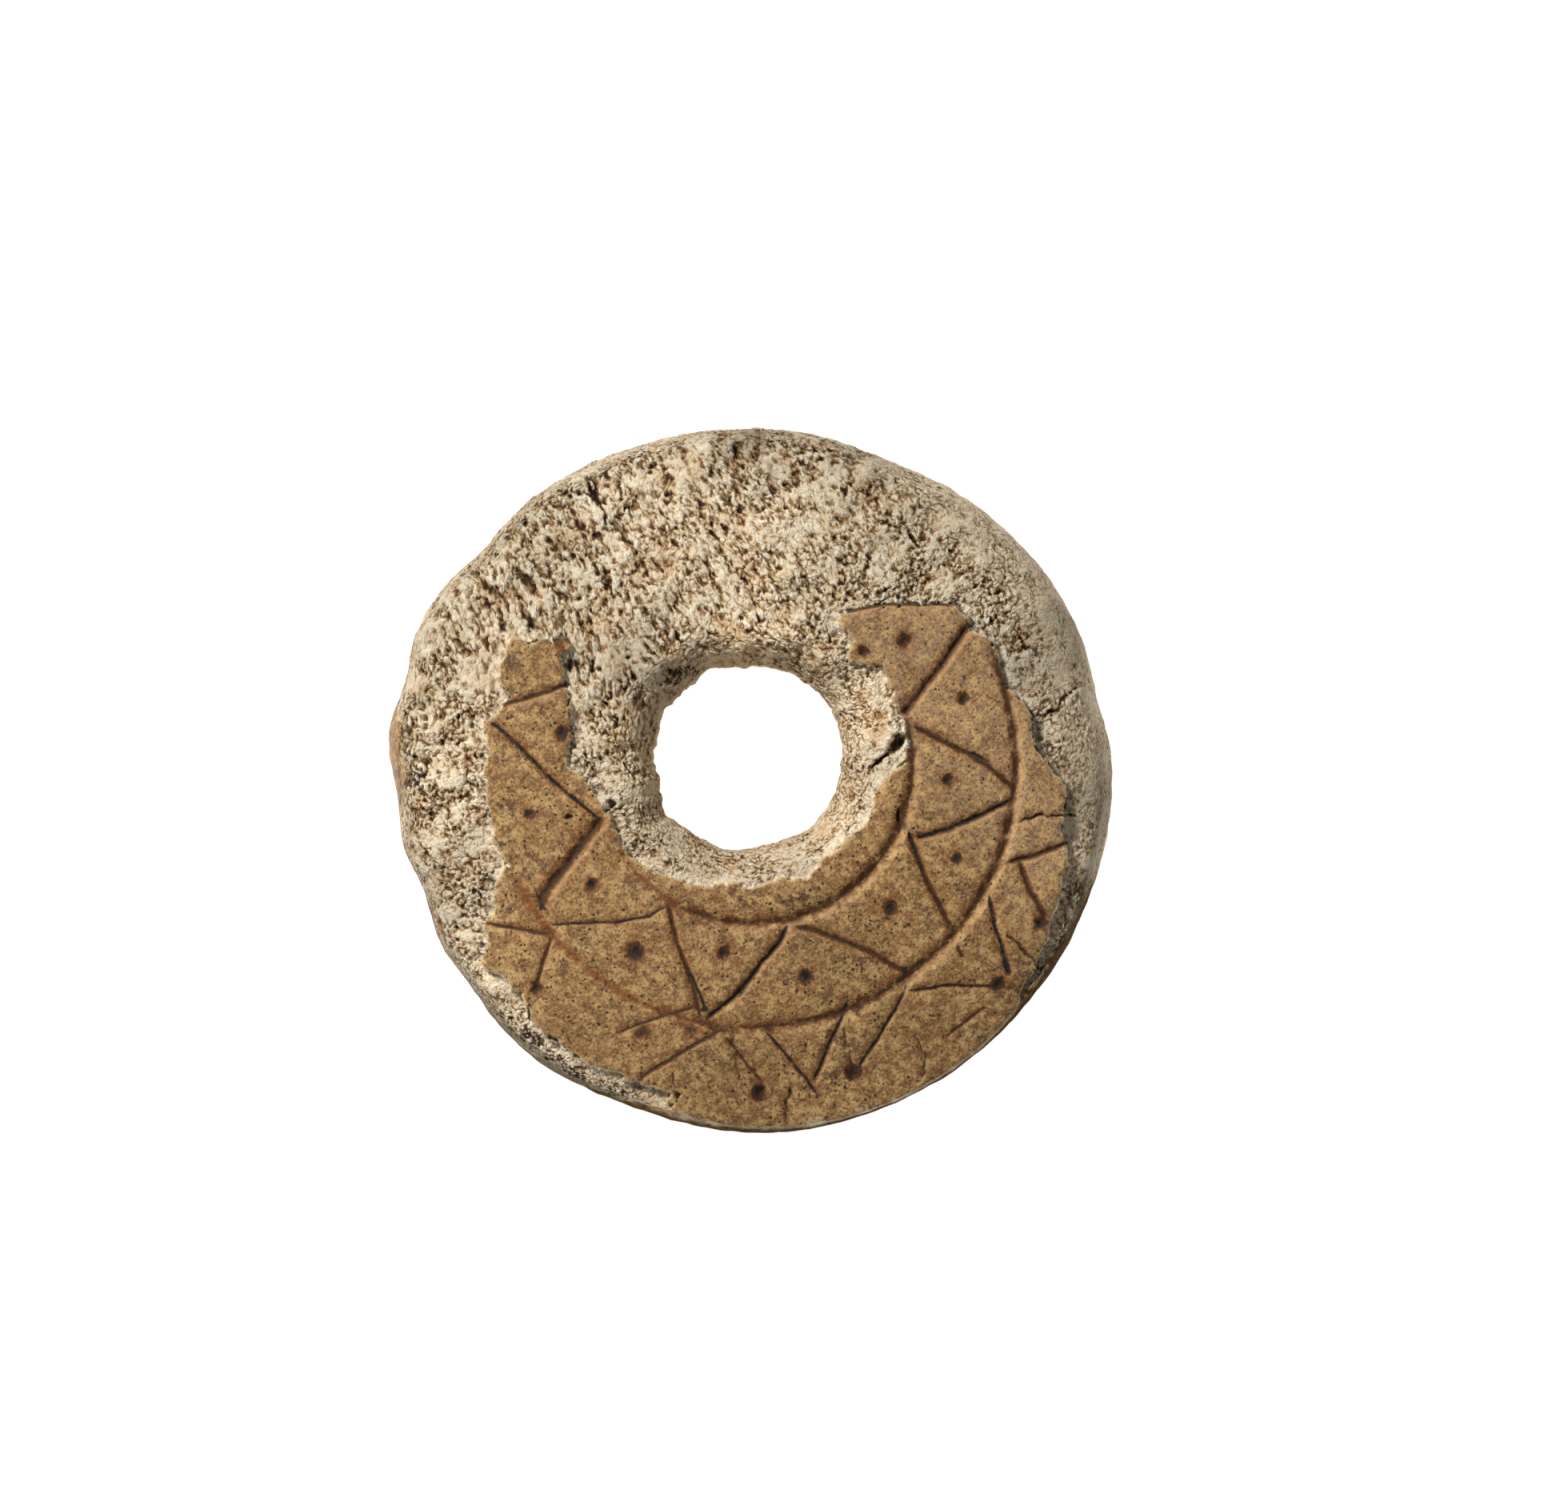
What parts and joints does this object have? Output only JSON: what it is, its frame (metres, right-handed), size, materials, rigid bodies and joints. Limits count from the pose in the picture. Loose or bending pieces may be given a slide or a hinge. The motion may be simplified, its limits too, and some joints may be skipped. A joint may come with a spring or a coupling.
{
  "type": "spindle whorl",
  "caption": "Low domed bone disc with a round hole for a spindle shaft, ring and zigzag carving with drilled dots, part of its hard skin broken away.",
  "frame": {"origin": "middle of the outline's box, on the flat underside; the hole's axis stands 0.1 mm to -X and 1.3 mm to +Y of it", "axes": "+Z out of the carved face and along the hole; +X to the right and +Y to the top of the picture, which looks straight down on the face"},
  "size_m": [0.0452, 0.044, 0.0125],
  "materials": {
    "bone": "matte"
  },
  "bodies": {
    "root": {"whorl": "bone"}
  },
  "joints": []
}
